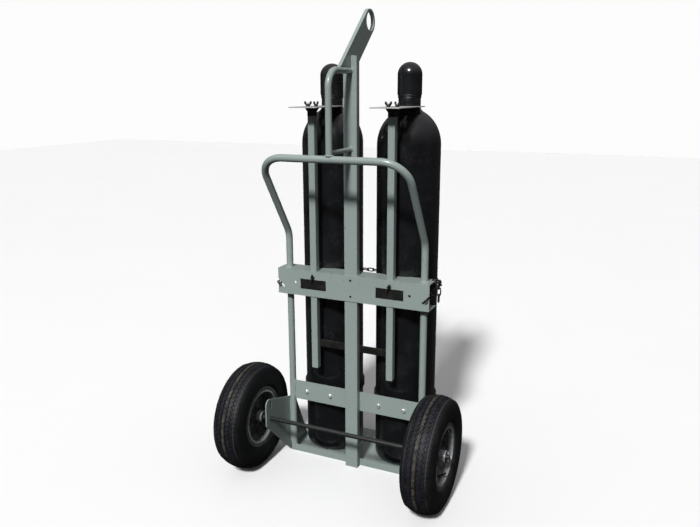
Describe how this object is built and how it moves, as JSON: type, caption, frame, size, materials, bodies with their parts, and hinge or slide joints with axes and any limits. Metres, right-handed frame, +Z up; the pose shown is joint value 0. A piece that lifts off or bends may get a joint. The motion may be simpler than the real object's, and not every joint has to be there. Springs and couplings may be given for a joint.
{
  "type": "oxy acetylene torch cart",
  "caption": "Two-wheeled cart for a pair of gas cylinders, with sliding neck clamps, a push handle and a lifting eye.",
  "frame": {"origin": "middle of the centre post's foot, on the floor", "axes": "+Z up, +X to the right of a person at the handle, +Y forwards towards the cylinders"},
  "size_m": [0.852, 0.6317, 1.6985],
  "materials": {
    "frame_paint": "semi-gloss grey-green powder coat",
    "cylinder_paint": "gloss black paint",
    "black_hardware": "black oxide",
    "zinc_plate": "bright zinc plating",
    "galvanised_plate": "dull galvanised",
    "axle_steel": "plain drawn steel",
    "tyre_rubber": "dusty black rubber",
    "valve_rubber": "matt",
    "brass": "machined brass",
    "handwheel_metal": "cast"
  },
  "bodies": {
    "cart_frame": {"axle": "axle_steel", "axle_spacers": "zinc_plate", "axle_washers": "zinc_plate", "band_bolts": "zinc_plate", "band_nuts": "zinc_plate", "centre_post": "frame_paint", "cotter_pins": "zinc_plate", "cross_channel": "frame_paint", "gas_cylinder_left": "cylinder_paint", "gas_cylinder_right": "cylinder_paint", "handle_frame": "frame_paint", "handle_strut": "frame_paint", "lifting_eye_plate": "frame_paint", "loop_brace": "frame_paint", "lower_band_left": "black_hardware", "lower_band_right": "black_hardware", "lower_crossbar": "frame_paint", "mast_guide_plate_left": "black_hardware", "mast_guide_plate_right": "black_hardware", "neck_ring_left": "cylinder_paint", "neck_ring_right": "cylinder_paint", "post_foot_plug": "frame_paint", "rest_bar": "black_hardware", "retaining_chain": "black_hardware", "side_plate_left": "frame_paint", "side_plate_right": "frame_paint", "toe_plate": "frame_paint", "tube_foot_plugs": "frame_paint", "valve_body_left": "brass", "valve_body_right": "brass"},
    "left_wheel": {"tyre_left": "tyre_rubber", "rim_outer_left": "zinc_plate", "rim_inner_left": "zinc_plate", "hub_left": "zinc_plate", "hub_bearings_left": "axle_steel", "valve_stem_left": "valve_rubber"},
    "left_mast": {"mast_left": "frame_paint", "mast_head_left": "black_hardware", "plate_studs_left": "zinc_plate"},
    "left_neck_plate": {"neck_plate_left": "galvanised_plate"},
    "left_outer_wing_nut": {"wing_nut_outer_left": "black_hardware"},
    "left_inner_wing_nut": {"wing_nut_inner_left": "black_hardware"},
    "left_lock_screw": {"mast_lock_screw_left": "black_hardware"},
    "left_handwheel": {"valve_handwheel_left": "handwheel_metal"},
    "left_cap": {"cylinder_cap_left": "cylinder_paint"},
    "right_wheel": {"tyre_right": "tyre_rubber", "rim_outer_right": "zinc_plate", "rim_inner_right": "zinc_plate", "hub_right": "zinc_plate", "hub_bearings_right": "axle_steel", "valve_stem_right": "valve_rubber"},
    "right_mast": {"mast_right": "frame_paint", "mast_head_right": "black_hardware", "plate_studs_right": "zinc_plate"},
    "right_neck_plate": {"neck_plate_right": "galvanised_plate"},
    "right_outer_wing_nut": {"wing_nut_outer_right": "black_hardware"},
    "right_inner_wing_nut": {"wing_nut_inner_right": "black_hardware"},
    "right_lock_screw": {"mast_lock_screw_right": "black_hardware"},
    "right_handwheel": {"valve_handwheel_right": "handwheel_metal"},
    "right_cap": {"cylinder_cap_right": "cylinder_paint"}
  },
  "joints": [
    {"name": "left_wheel_spin", "type": "hinge", "parent": "cart_frame", "child": "left_wheel", "pos_m": [-0.3647, -0.134, 0.2032], "axis": [1, 0, 0], "continuous": true},
    {"name": "left_mast_slide", "type": "slide", "parent": "cart_frame", "child": "left_mast", "axis": [0, 0, 1], "range_m": [-0.006, 0.024]},
    {"name": "left_neck_plate_slide", "type": "slide", "parent": "left_mast", "child": "left_neck_plate", "axis": [0, -1, 0], "range_m": [0, 0.06]},
    {"name": "left_outer_wing_nut_turn", "type": "hinge", "parent": "left_mast", "child": "left_outer_wing_nut", "pos_m": [-0.1683, 0.0004, 1.375], "axis": [0, 0, 1], "range_deg": [0, 720]},
    {"name": "left_inner_wing_nut_turn", "type": "hinge", "parent": "left_mast", "child": "left_inner_wing_nut", "pos_m": [-0.1365, 0.0004, 1.375], "axis": [0, 0, 1], "range_deg": [0, 720]},
    {"name": "left_lock_screw_turn", "type": "hinge", "parent": "cart_frame", "child": "left_lock_screw", "pos_m": [-0.1524, -0.02, 0.747], "axis": [0, 1, 0], "range_deg": [-720, 0]},
    {"name": "left_handwheel_turn", "type": "hinge", "parent": "cart_frame", "child": "left_handwheel", "pos_m": [-0.1524, 0.1626, 1.448], "axis": [0, 0, 1], "range_deg": [0, 720]},
    {"name": "left_cap_lift", "type": "slide", "parent": "cart_frame", "child": "left_cap", "axis": [0, 0, 1], "range_m": [0, 0.16]},
    {"name": "right_wheel_spin", "type": "hinge", "parent": "cart_frame", "child": "right_wheel", "pos_m": [0.3647, -0.134, 0.2032], "axis": [1, 0, 0], "continuous": true},
    {"name": "right_mast_slide", "type": "slide", "parent": "cart_frame", "child": "right_mast", "axis": [0, 0, 1], "range_m": [-0.006, 0.024]},
    {"name": "right_neck_plate_slide", "type": "slide", "parent": "right_mast", "child": "right_neck_plate", "axis": [0, -1, 0], "range_m": [0, 0.06]},
    {"name": "right_outer_wing_nut_turn", "type": "hinge", "parent": "right_mast", "child": "right_outer_wing_nut", "pos_m": [0.1683, 0.0004, 1.375], "axis": [0, 0, 1], "range_deg": [0, 720]},
    {"name": "right_inner_wing_nut_turn", "type": "hinge", "parent": "right_mast", "child": "right_inner_wing_nut", "pos_m": [0.1365, 0.0004, 1.375], "axis": [0, 0, 1], "range_deg": [0, 720]},
    {"name": "right_lock_screw_turn", "type": "hinge", "parent": "cart_frame", "child": "right_lock_screw", "pos_m": [0.1524, -0.02, 0.747], "axis": [0, 1, 0], "range_deg": [-720, 0]},
    {"name": "right_handwheel_turn", "type": "hinge", "parent": "cart_frame", "child": "right_handwheel", "pos_m": [0.1524, 0.1626, 1.448], "axis": [0, 0, 1], "range_deg": [0, 720]},
    {"name": "right_cap_lift", "type": "slide", "parent": "cart_frame", "child": "right_cap", "axis": [0, 0, 1], "range_m": [0, 0.16]}
  ]
}
